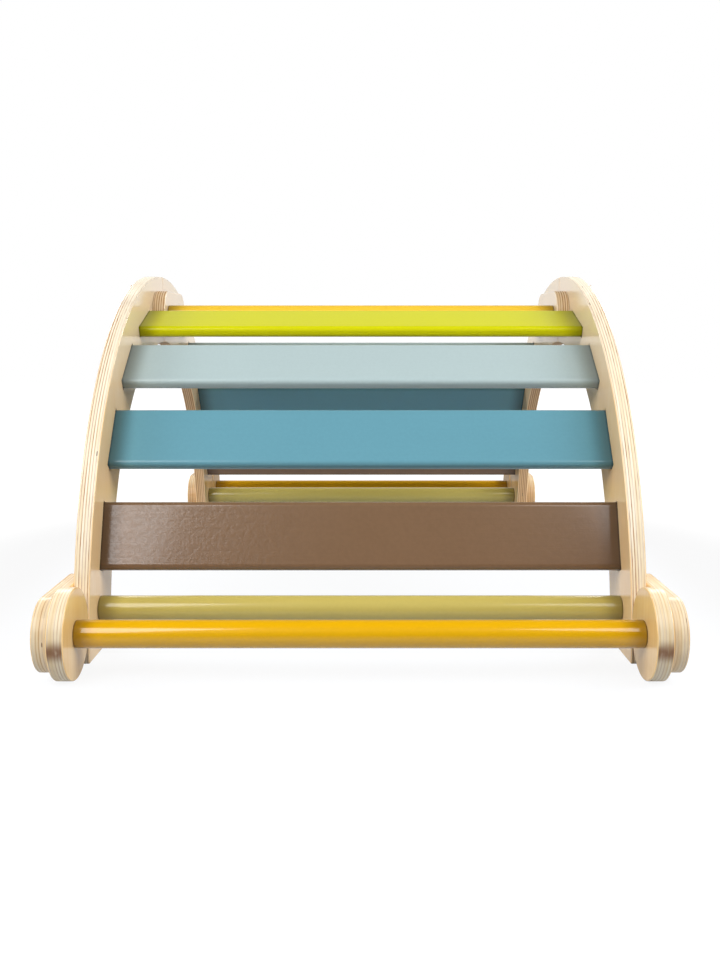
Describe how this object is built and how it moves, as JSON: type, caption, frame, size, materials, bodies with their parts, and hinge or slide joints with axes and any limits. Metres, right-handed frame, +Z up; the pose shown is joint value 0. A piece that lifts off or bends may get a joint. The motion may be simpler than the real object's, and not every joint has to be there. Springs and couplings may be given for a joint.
{
  "type": "climbing arch",
  "caption": "Free-standing climbing arch for small children: curved plywood sides joined by painted slats and round rungs, plated at the top seam, with round feet.",
  "frame": {"origin": "on the floor, at the centre of the arch's footprint", "axes": "+Z up, +X across the arch along the rungs, +Y along the arch away from the viewer"},
  "size_m": [0.677, 1.1278, 0.449],
  "materials": {
    "birch_plywood": "clear satin lacquer over pale birch, layered edges bare",
    "brown_paint": "satin brown paint over solid wood",
    "teal_paint": "satin teal paint over solid wood",
    "pale_blue_paint": "satin pale blue paint over solid wood",
    "lime_paint": "satin lime paint over solid wood",
    "olive_paint": "satin olive paint over a round hardwood dowel",
    "yellow_paint": "satin yellow paint over a round hardwood dowel",
    "zinc_steel": "bright zinc plate",
    "bronzed_steel": "dark bronze plate",
    "brass": "plain turned brass"
  },
  "bodies": {
    "root": {"left_front_panel": "birch_plywood", "left_front_foot_disc": "birch_plywood", "left_front_foot_link": "birch_plywood", "left_front_slat_screws": "zinc_steel", "left_rear_panel": "birch_plywood", "left_rear_foot_disc": "birch_plywood", "left_rear_foot_link": "birch_plywood", "left_rear_slat_screws": "zinc_steel", "left_inner_top_plate": "birch_plywood", "left_outer_top_plate": "birch_plywood", "right_front_panel": "birch_plywood", "right_front_foot_disc": "birch_plywood", "right_front_foot_link": "birch_plywood", "right_front_slat_screws": "zinc_steel", "right_rear_panel": "birch_plywood", "right_rear_foot_disc": "birch_plywood", "right_rear_foot_link": "birch_plywood", "right_rear_slat_screws": "zinc_steel", "right_inner_top_plate": "birch_plywood", "right_outer_top_plate": "birch_plywood", "front_slat_brown": "brown_paint", "front_slat_teal": "teal_paint", "front_slat_pale_blue": "pale_blue_paint", "front_slat_lime": "lime_paint", "front_leg_dowel": "olive_paint", "front_foot_dowel": "yellow_paint", "front_top_dowel": "yellow_paint", "rear_slat_brown": "brown_paint", "rear_slat_teal": "teal_paint", "rear_slat_pale_blue": "pale_blue_paint", "rear_slat_lime": "lime_paint", "rear_leg_dowel": "olive_paint", "rear_foot_dowel": "yellow_paint", "rear_top_dowel": "yellow_paint", "leg_bolts": "bronzed_steel", "leg_inserts": "brass", "foot_bolts": "bronzed_steel", "foot_inserts": "brass", "top_bolts": "bronzed_steel", "top_inserts": "brass"}
  },
  "joints": []
}
